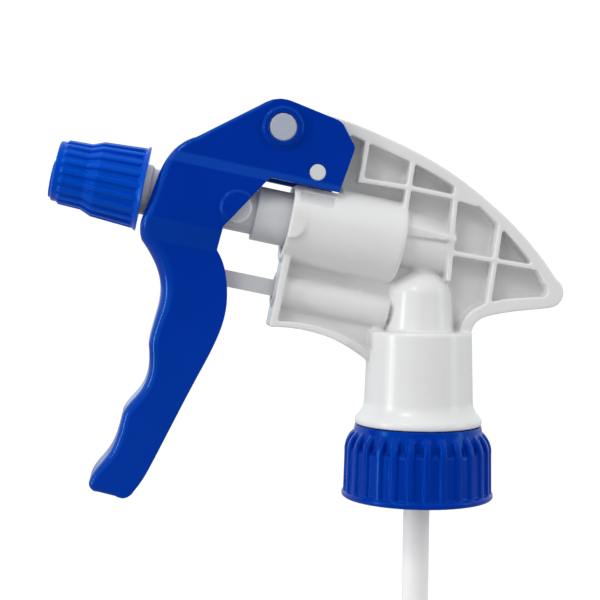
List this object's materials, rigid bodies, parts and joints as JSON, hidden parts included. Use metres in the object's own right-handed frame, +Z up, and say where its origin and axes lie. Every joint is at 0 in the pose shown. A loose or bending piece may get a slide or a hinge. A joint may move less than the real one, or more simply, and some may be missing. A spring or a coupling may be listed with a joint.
{
  "type": "trigger sprayer head",
  "caption": "Hand trigger sprayer head: a swinging trigger drives a piston that carries the adjustable nozzle, over a screw closure and dip tube for a bottle neck.",
  "frame": {"origin": "centre of the closure's lower rim, on the neck axis", "axes": "+Z up the neck axis, -X towards the nozzle, +X towards the beak behind the neck, +Y across the head"},
  "size_m": [0.1196, 0.0356, 0.3012],
  "materials": {
    "white_shell": "satin moulded polypropylene",
    "white_pin": "satin moulded acetal",
    "white_piston": "satin moulded polypropylene",
    "valve_white": "moulded polyethylene",
    "natural_tube": "extruded natural polyethylene, slightly milky",
    "blue_trigger": "smooth moulded polypropylene, soft gloss",
    "blue_nozzle": "moulded polypropylene, soft gloss",
    "blue_closure": "moulded polypropylene, soft gloss",
    "seal_rubber": "moulded elastomer",
    "gasket_foam": "pressed polyethylene foam",
    "spring_steel": "drawn stainless wire",
    "ball_steel": "polished stainless ball"
  },
  "bodies": {
    "housing": {"body": "white_shell", "pivot_pin": "white_pin", "return_spring": "spring_steel", "intake_seat": "valve_white", "neck_gasket": "gasket_foam", "dip_tube": "natural_tube"},
    "trigger": {"trigger": "blue_trigger", "stud_left": "white_piston", "stud_right": "white_piston"},
    "piston": {"piston": "white_piston", "piston_seal": "seal_rubber", "vent_rod": "white_piston", "vent_seal": "seal_rubber", "swirl_insert": "white_piston", "discharge_spring": "spring_steel"},
    "nozzle_seal": {"nozzle_seal": "seal_rubber"},
    "nozzle_cap": {"nozzle_cap": "blue_nozzle"},
    "discharge_ball": {"discharge_ball": "ball_steel"},
    "intake_ball": {"intake_ball": "ball_steel"},
    "closure": {"closure": "blue_closure"}
  },
  "joints": [
    {"name": "trigger_pull", "type": "hinge", "parent": "housing", "child": "trigger", "pos_m": [-0.0337, 0, 0.08542], "axis": [0, -1, 0], "range_deg": [0, 24], "stiffness_Nm_per_rad": 0.38, "springref_deg": -16.62},
    {"name": "piston_slide", "type": "slide", "parent": "housing", "child": "piston", "axis": [0.9816, 0, -0.1908], "range_m": [0, 0.0086], "deforming": ["return_spring"]},
    {"name": "nozzle_advance", "type": "slide", "parent": "piston", "child": "nozzle_seal", "axis": [-0.9816, 0, 0.1908], "range_m": [0, 0.003]},
    {"name": "nozzle_turn", "type": "hinge", "parent": "nozzle_seal", "child": "nozzle_cap", "pos_m": [-0.0746, 0, 0.0731], "axis": [-0.9816, 0, 0.1908], "range_deg": [0, 540]},
    {"name": "discharge_lift", "type": "slide", "parent": "piston", "child": "discharge_ball", "axis": [-0.9816, 0, 0.1908], "range_m": [0, 0.0012], "stiffness_N_per_m": 60, "springref_m": -0.002, "deforming": ["discharge_spring"]},
    {"name": "intake_lift", "type": "slide", "parent": "housing", "child": "intake_ball", "axis": [0, 0, 1], "range_m": [0, 0.0012]},
    {"name": "closure_turn", "type": "hinge", "parent": "housing", "child": "closure", "pos_m": [0, 0, 0.008], "axis": [0, 0, 1], "continuous": true}
  ],
  "couplings": [
    {"joint": "trigger_pull", "follows": "piston_slide", "rad_per_m": 48.7},
    {"joint": "nozzle_turn", "follows": "nozzle_advance", "rad_per_m": 3141.6}
  ]
}
